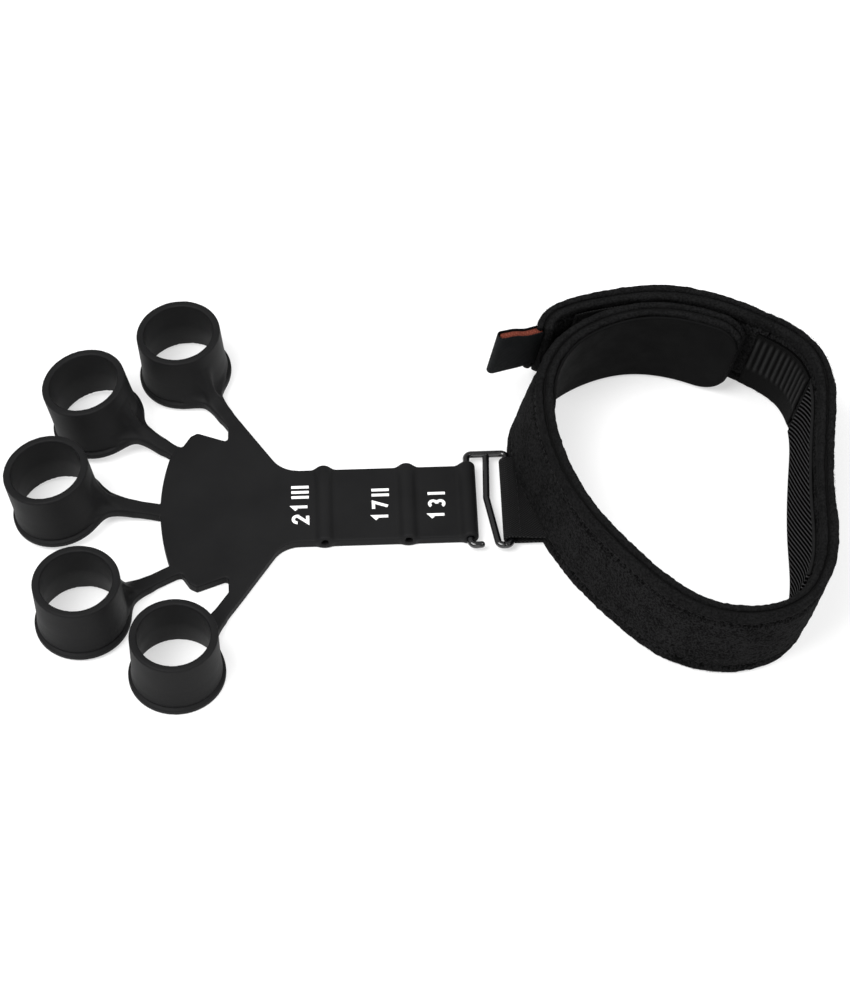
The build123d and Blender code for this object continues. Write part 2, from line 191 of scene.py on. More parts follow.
def print_material():
    material, shader = new_material("level_print", (0.80, 0.80, 0.79), 0.55)
    n = Nodes(material)
    thin = n.noise(0.5, 4, 0.7)
    n.link(n.colours(n.remap(thin, 0.25, 0.42, 0, 1), (0.52, 0.52, 0.52), (0.86, 0.86, 0.85)),
           shader.inputs["Base Color"])
    n.link(n.remap(thin, 0.3, 0.7, 0.4, 0.65), shader.inputs["Roughness"])
    n.link(n.bump(n.noise(0.2, 2), 0.02, 0.5), shader.inputs["Normal"])
    return material


def enamel_material():
    material, shader = new_material("hook_enamel", (0.006, 0.006, 0.007), 0.12, 0.55)
    shader.inputs["Coat Weight"].default_value = 0.4
    shader.inputs["Coat Roughness"].default_value = 0.08
    n = Nodes(material)
    worn = n.noise(0.9, 5, 0.75)
    n.link(n.colours(n.remap(worn, 0.66, 0.72, 0, 1), (0.003, 0.003, 0.0035), (0.05, 0.05, 0.05)),
           shader.inputs["Base Color"])
    n.link(n.remap(worn, 0.4, 0.7, 0.12, 0.34), shader.inputs["Roughness"])
    n.link(n.bump(n.noise(0.8, 2), 0.03, 0.4), shader.inputs["Normal"])
    return material


def plush_material(name, dark, light, sheen, rims=False):
    """Short brushed loops. With rims, they lie flat and even along both edges of the strap."""
    material, shader = new_material(name, light, 0.97, 0.02)
    shader.inputs["Sheen Weight"].default_value = sheen
    shader.inputs["Sheen Roughness"].default_value = 0.6
    n = Nodes(material)
    tufts = n.noise(0.62, 2, 0.65)
    matted = n.noise(7.0, 3)
    both = n.math("MULTIPLY_ADD", matted, 0.2, n.math("MULTIPLY", tufts, 0.9))
    level = n.remap(both, 0.45, 0.65, 0, 1)
    if rims:
        _, across = n.strip()
        from_middle = n.math("ABSOLUTE", n.math("SUBTRACT", across, STRAP_WIDTH / 2))
        loose = n.remap(from_middle, 14.0, 16.2, 1, 0.45)
        level = n.math("MULTIPLY_ADD", n.math("SUBTRACT", level, 0.5), loose, 0.5)
    n.link(n.colours(level, dark, light), shader.inputs["Base Color"])
    n.link(n.remap(tufts, 0.3, 0.7, 0.8, 1.0), shader.inputs["Roughness"])
    curls = n.bump(n.noise(0.38, 3, 0.8), 0.18, 0.85)
    n.link(n.bump(tufts, 0.28, 0.75, curls), shader.inputs["Normal"])
    return material


def knit_material(name, dark, light, pitch_mm, depth_mm, roughness, sheen=0.15):
    """Fine plain fabric: rows of small stitches along and across the strip."""
    material, shader = new_material(name, light, roughness, 0.03)
    shader.inputs["Sheen Weight"].default_value = sheen
    shader.inputs["Sheen Roughness"].default_value = 0.4
    n = Nodes(material)
    along, across = n.strip()
    rows = n.math("MULTIPLY", n.wave(along, pitch_mm), n.wave(across, pitch_mm * 0.8))
    fluff = n.noise(0.5, 3, 0.7)
    height = n.math("MULTIPLY_ADD", fluff, 0.5, rows)
    n.link(n.colours(n.remap(height, 0.2, 1.1, 0, 1), dark, light), shader.inputs["Base Color"])
    n.link(n.remap(n.noise(6, 3), 0.3, 0.7, roughness - 0.08, roughness + 0.08), shader.inputs["Roughness"])
    n.link(n.bump(height, depth_mm, 0.8), shader.inputs["Normal"])
    return material


def twill_material():
    """Webbing with diagonal cords, each broken into short yarns."""
    material, shader = new_material("twill_tape", (0.02, 0.02, 0.02), 0.62, 0.0)
    n = Nodes(material)
    along, across = n.strip()
    slanted = n.math("MULTIPLY_ADD", across, 1.12, along)
    cords = n.wave(slanted, 2.1)
    yarns = n.wave(n.math("MULTIPLY_ADD", along, -0.35, across), 0.85)
    woven = n.math("ADD", n.math("MULTIPLY", cords, n.remap(yarns, 0, 1, 0.55, 1)),
                   n.math("MULTIPLY", n.noise(0.25, 2), 0.2))
    from_middle = n.math("ABSOLUTE", n.math("SUBTRACT", across, (TAPE_LOW + TAPE_HIGH) / 2))
    half = (TAPE_HIGH - TAPE_LOW) / 2
    inside = n.remap(from_middle, half - 1.0, half - 0.5, 1, 0)
    height = n.math("MULTIPLY_ADD", n.math("SUBTRACT", woven, 0.6), inside, 0.6)
    n.link(n.colours(n.remap(height, 0.52, 0.84, 0, 1), (0.0004, 0.0004, 0.0004), (0.0540, 0.0540, 0.0548)),
           shader.inputs["Base Color"])
    n.link(n.remap(height, 0.2, 1.0, 0.8, 0.5), shader.inputs["Roughness"])
    n.link(n.bump(height, 0.3, 0.9), shader.inputs["Normal"])
    return material


def elastic_material():
    material, shader = new_material("elastic", (0.015, 0.015, 0.015), 0.7, 0.04)
    n = Nodes(material)
    along, across = n.strip()
    threads = n.wave(across, 0.55)
    cords = n.wave(along, 0.5)
    height = n.math("MULTIPLY_ADD", cords, 0.15, n.math("MULTIPLY_ADD", n.noise(0.3, 2), 0.3, threads))
    # The rib crests are painted lighter and the gaps between them darker, in step with the ribs that the strap's
    # geometry already has: painted highlight and painted shade. Outside the ribbed middle the tone stays at the darker
    # gap level.
    ribs = n.wave(n.math("SUBTRACT", along, ELASTIC_START + 0.25 * RIB_PITCH), RIB_PITCH)
    from_middle = n.math("ABSOLUTE", n.math("SUBTRACT", across, RIB_MIDDLE))
    ribbed = n.remap(from_middle, RIB_REACH - 2.5, RIB_REACH, 1, 0)
    ribs = n.math("MULTIPLY_ADD", n.math("SUBTRACT", ribs, 0.2), ribbed, 0.2)
    yarn_and_rib_shade = n.math("MULTIPLY_ADD", n.remap(height, 0.3, 1.3, 0, 1), 0.3, n.math("MULTIPLY", ribs, 0.7))
    yarn_and_rib_shade = n.remap(yarn_and_rib_shade, 0.25, 0.85, 0, 1)
    n.link(n.colours(yarn_and_rib_shade, (0.0003, 0.0003, 0.0003), (0.0200, 0.0200, 0.0200)), shader.inputs["Base Color"])
    n.link(n.remap(height, 0.2, 1.4, 0.85, 0.6), shader.inputs["Roughness"])
    n.link(n.bump(height, 0.07, 0.7), shader.inputs["Normal"])
    return material


def webbing_material(name, dark, light, roughness):
    """Plain woven tape: ribs across it, each over and under the next yarn."""
    material, shader = new_material(name, light, roughness, 0.06)
    n = Nodes(material)
    along, across = n.strip()
    ribs = n.wave(along, 0.95)
    yarns = n.wave(across, 0.7)
    over = n.math("ABSOLUTE", n.math("SUBTRACT", ribs, yarns))
    height = n.math("MULTIPLY_ADD", n.noise(0.35, 3, 0.7), 0.5, over)
    n.link(n.colours(n.remap(height, 0.2, 1.1, 0, 1), dark, light), shader.inputs["Base Color"])
    n.link(n.remap(height, 0.2, 1.1, roughness + 0.15, roughness - 0.05), shader.inputs["Roughness"])
    n.link(n.bump(height, 0.22, 0.9), shader.inputs["Normal"])
    return material


def thread_material():
    material, shader = new_material("thread", (0.02, 0.02, 0.02), 0.5, 0.08)
    n = Nodes(material)
    twist = n.noise(0.3, 2)
    n.link(n.colours(twist, (0.0035, 0.0035, 0.0035), (0.019, 0.019, 0.0195)), shader.inputs["Base Color"])
    n.link(n.remap(twist, 0.3, 0.7, 0.42, 0.65), shader.inputs["Roughness"])
    n.link(n.bump(twist, 0.06, 0.8), shader.inputs["Normal"])
    return material


def foam_material():
    material, shader = new_material("foam", (0.006, 0.006, 0.006), 0.95, 0.1)
    n = Nodes(material)
    cells = n.noise(0.4, 3, 0.8)
    n.link(n.colours(cells, (0.001, 0.001, 0.001), (0.005, 0.005, 0.005)), shader.inputs["Base Color"])
    n.link(n.bump(cells, 0.15, 0.8), shader.inputs["Normal"])
    return material


SILICONE = silicone_material()
PRINT = print_material()
ENAMEL = enamel_material()
PLUSH = plush_material("plush_loop", (0.0006, 0.0006, 0.0006), (0.0125, 0.0125, 0.0128), 0.003, rims=True)
LINING = plush_material("lining", (0.0012, 0.0012, 0.0012), (0.0122, 0.0122, 0.0125), 0.003, rims=True)
FIBRE = plush_material("plush_fibre", (0.003, 0.003, 0.003), (0.016, 0.016, 0.016), 0.003)
PANEL = knit_material("smooth_panel", (0.0038, 0.0038, 0.0038), (0.0052, 0.0052, 0.0054), 0.55, 0.02, 0.75, 0.002)
TWILL = twill_material()
ELASTIC = elastic_material()
KEEPER = webbing_material("keeper_tape", (0.0008, 0.0008, 0.0008), (0.0200, 0.0200, 0.0205), 0.7)
HOOK_TAPE = webbing_material("hook_tape", (0.0015, 0.0015, 0.0015), (0.012, 0.012, 0.012), 0.55)
RIBBON = webbing_material("tab_ribbon", (0.0022, 0.0026, 0.0030), (0.0085, 0.0095, 0.0105), 0.6)
TAB_RED = webbing_material("tab_core", (0.095, 0.022, 0.014), (0.165, 0.042, 0.027), 0.8)
THREAD = thread_material()
FOAM = foam_material()


# ---------------------------------------------------------------- meshes
def add_mesh(name, points, faces, material, uv=None, normals=None):
    """A smooth-shaded mesh object. points are in mm, faces is a list of equal-sided face arrays."""
    mesh = bpy.data.meshes.new(name)
    groups = [np.asarray(group, np.int32) for group in faces if len(group)]
    corners = np.concatenate([group.ravel() for group in groups])
    totals = np.concatenate([np.full(len(group), group.shape[1]) for group in groups])
    mesh.vertices.add(len(points))
    mesh.vertices.foreach_set("co", (np.asarray(points) * MM).astype(np.float32).ravel())
    mesh.loops.add(len(corners))
    mesh.loops.foreach_set("vertex_index", corners)
    mesh.polygons.add(len(totals))
    mesh.polygons.foreach_set("loop_start", np.concatenate([[0], np.cumsum(totals)[:-1]]).astype(np.int32))
    mesh.update(calc_edges=True)
    mesh.validate()
    mesh.shade_smooth()
    if uv is not None:
        layer = mesh.uv_layers.new(name="strip")
        layer.data.foreach_set("uv", (np.asarray(uv) * MM).astype(np.float32)[corners].ravel())
    if normals is not None:
        mesh.normals_split_custom_set_from_vertices(normals.tolist())
    mesh.materials.append(material)
    piece = bpy.data.objects.new(name, mesh)
    bpy.context.scene.collection.objects.link(piece)
    return piece


def unit(vectors):
    return vectors / np.maximum(np.linalg.norm(vectors, axis=-1, keepdims=True), 1e-9)


# ---------------------------------------------------------------- silicone moulding
# Its shape is a field of distances to the surface on a fine grid, so that the sheet, arms,
# gussets and rings flow into each other with moulded fillets.
def polygon_distance(x, y, corners):
    """Distance from points to a closed polygon, negative inside."""
    best = np.full(np.broadcast(x, y).shape, 1e9, np.float32)
    inside = np.zeros(best.shape, bool)
    for (ax, ay), (bx, by) in zip(corners, np.roll(corners, -1, axis=0)):
        ex, ey = bx - ax, by - ay
        wx, wy = x - ax, y - ay
        t = np.clip((wx * ex + wy * ey) / (ex * ex + ey * ey + 1e-12), 0, 1)
        best = np.minimum(best, (wx - ex * t) ** 2 + (wy - ey * t) ** 2)
        if abs(ey) > 1e-9:
            inside ^= ((ay <= y) != (by <= y)) & (wx < ex * wy / ey)
    return np.where(inside, -1, 1).astype(np.float32) * np.sqrt(best)


def meet(a, b, radius):
    """Where both shapes are, with the edge between them rounded."""
    a, b = a + radius, b + radius
    outside = np.sqrt(np.maximum(a, 0) ** 2 + np.maximum(b, 0) ** 2)
    return outside + np.minimum(np.maximum(a, b), 0) - radius


def join(a, b, fillet):
    """Where either shape is, with a fillet between them."""
    share = np.clip(0.5 + 0.5 * (b - a) / fillet, 0, 1)
    return b + (a - b) * share - fillet * share * (1 - share)


def rounded(corners, radii):
    """The polygon with an arc at each corner that has a radius."""
    points = []
    count = len(corners)
    for index, radius in enumerate(radii):
        before, corner, after = (np.array(corners[(index + k) % count], float) for k in (-1, 0, 1))
        if not radius:
            points.append(corner)
            continue
        u, v = unit(before - corner), unit(after - corner)
        half = math.acos(float(np.clip(u @ v, -1, 1))) / 2
        middle = corner + unit(u + v) * radius / math.sin(half)
        first, last = corner + u * radius / math.tan(half), corner + v * radius / math.tan(half)
        for t in np.linspace(0, 1, 9):
            spoke = unit((first - middle) * (1 - t) + (last - middle) * t)
            points.append(middle + spoke * radius)
    return np.array(points)


def circle_through(a, b, c, count):
    """Points on the arc from a by b to c, without its ends."""
    (ax, ay), (bx, by), (cx, cy) = a, b, c
    d = 2 * (ax * (by - cy) + bx * (cy - ay) + cx * (ay - by))
    sa, sb, sc = ax * ax + ay * ay, bx * bx + by * by, cx * cx + cy * cy
    middle = np.array([(sa * (by - cy) + sb * (cy - ay) + sc * (ay - by)) / d,
                       (sa * (cx - bx) + sb * (ax - cx) + sc * (bx - ax)) / d])
    start, end = (math.atan2(*(np.array(p) - middle)[::-1]) for p in (a, c))
    end = start + (end - start + math.pi) % (2 * math.pi) - math.pi
    radius = np.linalg.norm(np.array(a) - middle)
    turns = np.linspace(start, end, count + 2)[1:-1]
    return [tuple(middle + radius * np.array([math.cos(t), math.sin(t)])) for t in turns]


def sheet_outline():
    """Palm plate and band in plan."""
    bulge = circle_through((-20.3, 20.6), (-22.4, 11.4), (-23.3, 2.25), 8)
    upper = [(BAND_END, BAND_WIDTH / 2), (13.1, BAND_WIDTH / 2), (0.5, 33.2), (-3.1, 30.9), (-3.2, 25.2),
             (-12.4, 28.9), (-14.5, 27.6), (-16.9, 23.6), (-18.4, 24.1), (-20.3, 20.6), *bulge, (-23.3, 2.25)]
    radii = [0, 9.0, 0, 0, 0.9, 0.9, 0.9, 0.9, 0] + [0] * (len(upper) - 9)
    lower = [(x, -y) for x, y in reversed(upper)]
    return rounded(upper + lower, radii + radii[::-1])


class Finger:
    """One ring with its arm: the ring's axis, and the arm's own directions."""

    def __init__(self, number):
        (px, py), lean = RING_PLACES[number - 1], math.radians(RING_LEANS[number - 1])
        self.number = number
        self.width = ARM_WIDTHS[number - 1]
        self.axis = np.array([-math.sin(lean), 0, math.cos(lean)])
        self.base = np.array([px, py, BEAD * math.sin(lean)])
        self.start = np.array([*ARM_ROOTS[number - 1], SHEET / 2])
        towards = self.start - self.base
        towards = self.towards = unit(towards - self.axis * (towards @ self.axis))
        foot = self.base + towards * RIM_OUTER + self.axis * SHEET / 2
        self.length = float(np.linalg.norm(foot - self.start))
        self.along = unit(foot - self.start)
        self.across = unit(np.cross([0, 0, 1], self.along))
        self.normal = np.cross(self.along, self.across)

    def arm_place(self, x, y, z):
        """Coordinates along the arm, across it and out of its sheet."""
        dx, dy, dz = x - self.start[0], y - self.start[1], z - self.start[2]
        return [dx * d[0] + dy * d[1] + dz * d[2] for d in (self.along, self.across, self.normal)]

    def ring_place(self, x, y, z):
        """Distance from the ring's axis, and height along it."""
        dx, dy, dz = x - self.base[0], y - self.base[1], z - self.base[2]
        up = dx * self.axis[0] + dy * self.axis[1] + dz * self.axis[2]
        return np.sqrt(np.maximum(dx * dx + dy * dy + dz * dz - up * up, 0)), up

    def distance(self, x, y, z):
        u, v, w = self.arm_place(x, y, z)
        begin = 0.42 * self.length
        share = np.clip((u - begin) / (self.length + 1.5 - begin), 0, 1)
        rise = ARM_FLARE / 2 - self.width / 2
        half = self.width / 2 + rise * share ** 2.4
        slope = 2.4 * rise * share ** 1.4 / (self.length + 1.5 - begin)
        arm = meet((np.abs(v) - half) / np.sqrt(1 + slope ** 2), np.abs(w) - SHEET / 2, 0.45)
        arm = np.maximum(arm, np.maximum(-u - 3.0, u - self.length - 3.0))
        radius, up = self.ring_place(x, y, z)
        out, side = self.ring_sides(x, y, z)
        web = np.full(arm.shape, 9.0, np.float32)
        near = (np.abs(side) < 7) & (out > RIM_INNER - 5) & (out < RIM_OUTER + GUSSET_LENGTH + 5)
        web[near] = meet(polygon_distance(out[near], up[near], self.gusset()), np.abs(side[near]) - 1.5, 0.7)
        wall = np.full(arm.shape, 9.0, np.float32)
        near = (radius > 6) & (radius < 20) & (up > -5)
        wall[near] = polygon_distance(radius[near], up[near], RING_SECTION) - RING_ROUND
        groove = np.hypot(radius[near] - GROOVE[0], up[near] - GROOVE[1]) - GROOVE[2]
        wall[near] = np.maximum(wall[near], -groove)
        return join(join(arm, web, 2.6), wall, 2.2)

    def ring_sides(self, x, y, z):
        """Distances from the ring's axis towards the palm, and sideways from there."""
        dx, dy, dz = x - self.base[0], y - self.base[1], z - self.base[2]
        aside = np.cross(self.axis, self.towards)
        return [dx * d[0] + dy * d[1] + dz * d[2] for d in (self.towards, aside)]

    def gusset(self):
        """The web between arm and ring, seen from its side: it curves up the ring's wall."""
        share = np.linspace(0, 1, 10)
        out = RIM_OUTER + GUSSET_LENGTH * (1 - share) - 0.5 * share
        climb = (self.along @ self.axis) / (self.along @ self.towards)
        arm = SHEET / 2 + climb * (out - RIM_OUTER)
        rise = arm + 0.4 + (GUSSET_HEIGHT + SHEET / 2) * share ** 2.3
        low = [(RIM_INNER + 0.6, rise[-1]), (RIM_INNER + 0.6, SHEET / 2), (RIM_OUTER, SHEET / 2)]
        return np.array([(out[0], arm[0] - 0.8), *zip(out, rise), *low])

    def bore(self, x, y, z):
        radius, up = self.ring_place(x, y, z)
        flare = np.clip(1 - up / (RING_HEIGHT - GRIP_LENGTH), 0, 1.3) ** 1.5
        return np.maximum(radius - RIM_INNER - (BASE_INNER - RIM_INNER) * flare, up - RING_HEIGHT - 3)


RING_ROUND = 0.45
GROOVE = (13.5, 2.45, 0.5)
RING_SECTION = np.array([
    (BEAD - RING_ROUND, RING_ROUND), (BEAD - RING_ROUND, 1.95 - RING_ROUND), (12.9, 1.9),
    (12.58, 5.0), (12.40, 9.0), (RIM_OUTER - RING_ROUND, RING_HEIGHT - RING_ROUND),
    (RIM_INNER + RING_ROUND, RING_HEIGHT - RING_ROUND), (RIM_INNER + RING_ROUND, RING_ROUND),
])


def surface_net(field, xs, ys, zs):
    """Points and quads of the surface where the field is zero."""
    inside = field < 0
    count = sum(inside[i:inside.shape[0] - 1 + i, j:inside.shape[1] - 1 + j, k:inside.shape[2] - 1 + k].astype(np.int8)
                for i in (0, 1) for j in (0, 1) for k in (0, 1))
    cells = np.argwhere((count > 0) & (count < 8))
    number = np.full(count.shape, -1, np.int32)
    number[tuple(cells.T)] = np.arange(len(cells))
    total, crossings = np.zeros((len(cells), 3)), np.zeros(len(cells))
    steps = (xs, ys, zs)
    for axis in range(3):
        others = [a for a in range(3) if a != axis]
        for p in (0, 1):
            for q in (0, 1):
                low = cells.copy()
                low[:, others[0]] += p
                low[:, others[1]] += q
                high = low.copy()
                high[:, axis] += 1
                a, b = field[tuple(low.T)], field[tuple(high.T)]
                crossed = (a < 0) != (b < 0)
                t = np.where(crossed, a / np.where(crossed, a - b, 1), 0)
                place = np.stack([steps[k][low[:, k]] for k in range(3)], axis=1)
                place[:, axis] += t * (steps[axis][high[:, axis]] - steps[axis][low[:, axis]])
                total += place * crossed[:, None]
                crossings += crossed
    points = total / crossings[:, None]
    quads = []
    for axis in range(3):
        others = [a for a in range(3) if a != axis]
        first = np.moveaxis(inside, axis, 0)
        edges = np.argwhere(first[1:] != first[:-1])
        entering = first[:-1][tuple(edges.T)]
        at = np.empty_like(edges)
        at[:, axis], at[:, others[0]], at[:, others[1]] = edges.T
        keep = (at[:, others[0]] > 0) & (at[:, others[1]] > 0)
        keep &= (at[:, others[0]] < count.shape[others[0]]) & (at[:, others[1]] < count.shape[others[1]])
        at, entering = at[keep], entering[keep]
        around = []
        for p, q in ((0, 0), (1, 0), (1, 1), (0, 1)):
            cell = at.copy()
            cell[:, others[0]] -= p
            cell[:, others[1]] -= q
            around.append(number[tuple(cell.T)])
        quad = np.stack(around, axis=1)
        if axis == 1:
            entering = ~entering
        quads.append(np.where(entering[:, None], quad, quad[:, ::-1]))
    return points, np.concatenate(quads)


def vertex_normals(points, quads):
    a, b, c, d = (points[quads[:, k]] for k in range(4))
    face = np.cross(c - a, d - b)
    normals = np.zeros_like(points)
    for k in range(4):
        for axis in range(3):
            normals[:, axis] += np.bincount(quads[:, k], face[:, axis], len(points))
    return unit(normals)


def silicone_field(xs, ys, zs):
    field = np.full((len(xs), len(ys), len(zs)), 9.0, np.float32)

    def window(low, high):
        cut = tuple(slice(*np.searchsorted(line, (a, b))) for line, a, b in zip((xs, ys, zs), low, high))
        return cut, xs[cut[0]][:, None, None], ys[cut[1]][None, :, None], zs[cut[2]][None, None, :]

    cut, x, y, z = window((-30, -40, -9), (80, 40, 8))
    plan = polygon_distance(x[:, :, 0], y[:, :, 0], sheet_outline())[:, :, None]
    field[cut] = meet(plan, np.abs(z - SHEET / 2) - SHEET / 2, 0.4)
    for middle in TUNNELS:
        cut, x, y, z = window((middle - 6, -20, -9), (middle + 6, 20, 9))
        ridge = np.sqrt((x - middle) ** 2 + (z - RIDGE_RADIUS) ** 2)
        rod = meet(ridge - RIDGE_RADIUS, np.abs(y) - RIDGE_LENGTH / 2, 0.9)
        wire_way = np.sqrt((x - middle) ** 2 + (z - HOOK_Z) ** 2)
        field[cut] = np.maximum(join(field[cut], rod, 1.3), BORE - wire_way)
    for finger in FINGERS:
        middle, root = finger.base, finger.start
        low = np.minimum(middle - 17 - 4 * abs(finger.axis[0]) * 5, root - 6)
        high = np.maximum(middle + 17, root + 6)
        cut, x, y, z = window((*low[:2], -9), (*high[:2], 40))
        near = np.minimum(field[cut], finger.distance(x, y, z).astype(np.float32))
        field[cut] = np.maximum(near, -finger.bore(x, y, z))
    return np.maximum(field, -zs[None, None, :]).astype(np.float32)


FINGERS = [Finger(number) for number in range(1, 6)]
GRID = 0.36
FLEX_END, STRETCH_START = 4.6, 5.4


def build_silicone():
    xs = np.arange(-70.6, 72.4, GRID)
    ys = np.arange(-73.0, 70.4, GRID)
    zs = np.concatenate([np.arange(-0.55, 5.0, GRID * 0.75), np.arange(5.0, 26.0, GRID * 1.15)])
    points, quads = surface_net(silicone_field(xs, ys, zs), xs, ys, zs)
    normals = vertex_normals(points, quads)
    centres = points[quads].mean(axis=1)
    owner = np.where(centres[:, 0] > FOLD_START, 50, 0)
    for finger in FINGERS:
        u, v, _ = finger.arm_place(*centres.T)
        radius, _ = finger.ring_place(*centres.T)
        mine = (u > 0) & ((radius < 15.5) | (np.abs(v) < finger.width / 2 + 1.5 + 0.5 * np.maximum(u, 0)))
        mine &= (np.abs(v) < 16) & (u < 50)
        owner[mine] = finger.number
        owner[mine & (u > (FLEX_END + STRETCH_START) / 2)] = finger.number + 10
    parts = {}
    for label in np.unique(owner):
        chosen = quads[owner == label]
        used, faces = np.unique(chosen, return_inverse=True)
        parts[int(label)] = (points[used], [faces.reshape(chosen.shape)], normals[used])
    return parts


def make_silicone_pieces():
    parts = build_silicone()

    def piece(name, label):
        points, faces, normals = parts[label]
        return add_mesh(name, points, faces, SILICONE, normals=normals)

    palm = piece("palm_moulding", 0)
    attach(palm, "palm")
    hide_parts("palm_plate")
    band = piece("band_moulding", 50)
    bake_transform(band)
    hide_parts("band_fold", "tension_band")
    for finger in FINGERS:
        k = finger.number

        def at(distance):
            return tuple((finger.start + finger.along * distance) * MM)

        arm = piece(f"finger_{k}_arm_moulding", k)
        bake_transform(arm)
        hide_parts(f"finger_arm_{k}")
        ring = piece(f"finger_{k}_ring_moulding", k + 10)
        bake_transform(ring)
        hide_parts(f"finger_ring_{k}")


make_silicone_pieces()
for mark in ("level_mark_21", "level_mark_17", "level_mark_13"):
    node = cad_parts[mark]
    node.data.materials.clear()
    node.data.materials.append(PRINT)


# ---------------------------------------------------------------- curves and sweeps
class Path:
    """A smooth line through points in plan, measured in mm along it."""

    def __init__(self, points):
        points = np.array(points, float)
        knots = np.concatenate([[0], np.cumsum(np.linalg.norm(np.diff(points, axis=0), axis=1))])
        gaps = np.diff(knots)
        count = len(points)
        matrix, right = np.eye(count), np.zeros((count, 2))
        for k in range(1, count - 1):
            matrix[k, k - 1:k + 2] = gaps[k - 1], 2 * (gaps[k - 1] + gaps[k]), gaps[k]
            right[k] = 6 * ((points[k + 1] - points[k]) / gaps[k] - (points[k] - points[k - 1]) / gaps[k - 1])
        bend = np.linalg.solve(matrix, right)
        t = np.linspace(0, knots[-1], 6000)
        span = np.clip(np.searchsorted(knots, t, side="right") - 1, 0, count - 2)
        h, a, b = gaps[span][:, None], (knots[span + 1] - t)[:, None], (t - knots[span])[:, None]
        dense = (bend[span] * a ** 3 + bend[span + 1] * b ** 3) / (6 * h)
        dense += (points[span] / h - bend[span] * h / 6) * a + (points[span + 1] / h - bend[span + 1] * h / 6) * b
        self.points = dense
        self.lengths = np.concatenate([[0], np.cumsum(np.linalg.norm(np.diff(dense, axis=0), axis=1))])
        self.length = self.lengths[-1]
        self.tangents = unit(np.gradient(dense, self.lengths, axis=0))
        self.pull, self.pull_at = 0.0, 0.0

    def at(self, s):
        place = np.stack([np.interp(s, self.lengths, self.points[:, k]) for k in (0, 1)], axis=-1)
        along = unit(np.stack([np.interp(s, self.lengths, self.tangents[:, k]) for k in (0, 1)], axis=-1))
        outward = np.stack([along[..., 1], -along[..., 0]], axis=-1)
        beyond = np.asarray(s - np.clip(s, 0, self.length))[..., None]
        return place + along * beyond, along, outward

    def nearest(self, point):
        return float(self.lengths[np.argmin(np.linalg.norm(self.points - np.array(point), axis=1))])


def wall_place(path, s, offset, height):
    """A point of the leaning wall: along it, outwards from its middle, and up. The strap's foot is
    drawn towards the hook where the keeper pulls on it."""
    place, _, outward = path.at(s)
    share = height / STRAP_WIDTH - 0.5
    drawn = path.pull * np.exp(-0.5 * ((s - path.pull_at) / 14) ** 2) * np.clip(0.5 - share, 0, 1) ** 1.2
    flat = place + outward * (offset + drawn)[..., None]
    return np.stack([flat[..., 0] + LEAN[0] * share, flat[..., 1] + LEAN[1] * share,
                     np.broadcast_to(height, flat.shape[:-1])], axis=-1)


def grid_mesh(points):
    """Faces of a closed tube of points, stations by outline, with a fan at both ends."""
    stations, outline = points.shape[:2]
    index = np.arange(stations * outline).reshape(stations, outline)
    after = np.roll(index, -1, axis=1)
    quads = np.stack([index[:-1], index[1:], after[1:], after[:-1]], axis=-1).reshape(-1, 4)
    ends = np.array([points[0].mean(axis=0), points[-1].mean(axis=0)])
    first, last = stations * outline, stations * outline + 1
    caps = np.concatenate([
        np.stack([np.full(outline, first), index[0], after[0]], axis=-1),
        np.stack([np.full(outline, last), after[-1], index[-1]], axis=-1),
    ])
    everything = np.concatenate([points.reshape(-1, 3), ends])
    a, b, c = (everything[caps[:, k]] for k in range(3))
    volume = (a * np.cross(b, c)).sum()
    a, b, c, d = (everything[quads[:, k]] for k in range(4))
    volume += (a * np.cross(b, c)).sum() + (a * np.cross(c, d)).sum()
    if volume < 0:
        quads, caps = quads[:, ::-1], caps[:, ::-1]
    return everything, [quads, caps]


def layer_outline(inside, outside, low, high, step, fine_side=1):
    """A flat layer's section as (offset, height, its own outward direction), rounded at both rims."""
    radius, middle = (outside - inside) / 2, (outside + inside) / 2
    heights = np.linspace(low + radius, high - radius, max(4, int((high - low) / step)))
    sparse = np.linspace(low + radius, high - radius, 12)
    up, down = (heights, sparse) if fine_side > 0 else (sparse, heights)
    turn = np.linspace(0, math.pi, 9)[1:-1]
    rows = [(outside, h, 1, 0) for h in up]
    rows += [(middle + radius * math.cos(t), high - radius + radius * math.sin(t), math.cos(t), math.sin(t))
             for t in turn]
    rows += [(inside, h, -1, 0) for h in down[::-1]]
    rows += [(middle - radius * math.cos(t), low + radius - radius * math.sin(t), -math.cos(t), -math.sin(t))
             for t in turn]
    return np.array(rows)


def stations_between(start, end, step, round_start=0.0, round_end=0.0):
    """Places along a strip, closer together where its ends are rounded."""
    close = 1 - np.cos(np.linspace(0, math.pi / 2, 8))
    inner = np.linspace(start + round_start, end - round_end, max(2, int((end - start) / step)))
    pieces = [inner]
    if round_start:
        pieces.insert(0, start + round_start * close[:-1] + 1e-3)
    if round_end:
        pieces.append((end - round_end * close[:-1])[::-1] - 1e-3)
    return np.concatenate(pieces)


def random_field(rows, columns, spacing, size):
    """Smooth random values of about unit size, with lumps about size mm across."""
    values = rng.standard_normal((rows, columns))
    down = np.fft.fftfreq(rows, spacing[0])[:, None]
    over = np.fft.rfftfreq(columns, spacing[1])[None, :]
    soft = np.exp(-2 * (math.pi * size / 3) ** 2 * (down ** 2 + over ** 2))
    smooth = np.fft.irfft2(np.fft.rfft2(values) * soft, s=(rows, columns))
    return smooth / smooth.std()


def corner_cut(radius, away):
    """How much a rounded corner takes off a strip's side, at this distance from its end."""
    within = np.clip(away, 0, radius)
    return radius - np.sqrt(np.maximum(radius ** 2 - (radius - within) ** 2, 0))


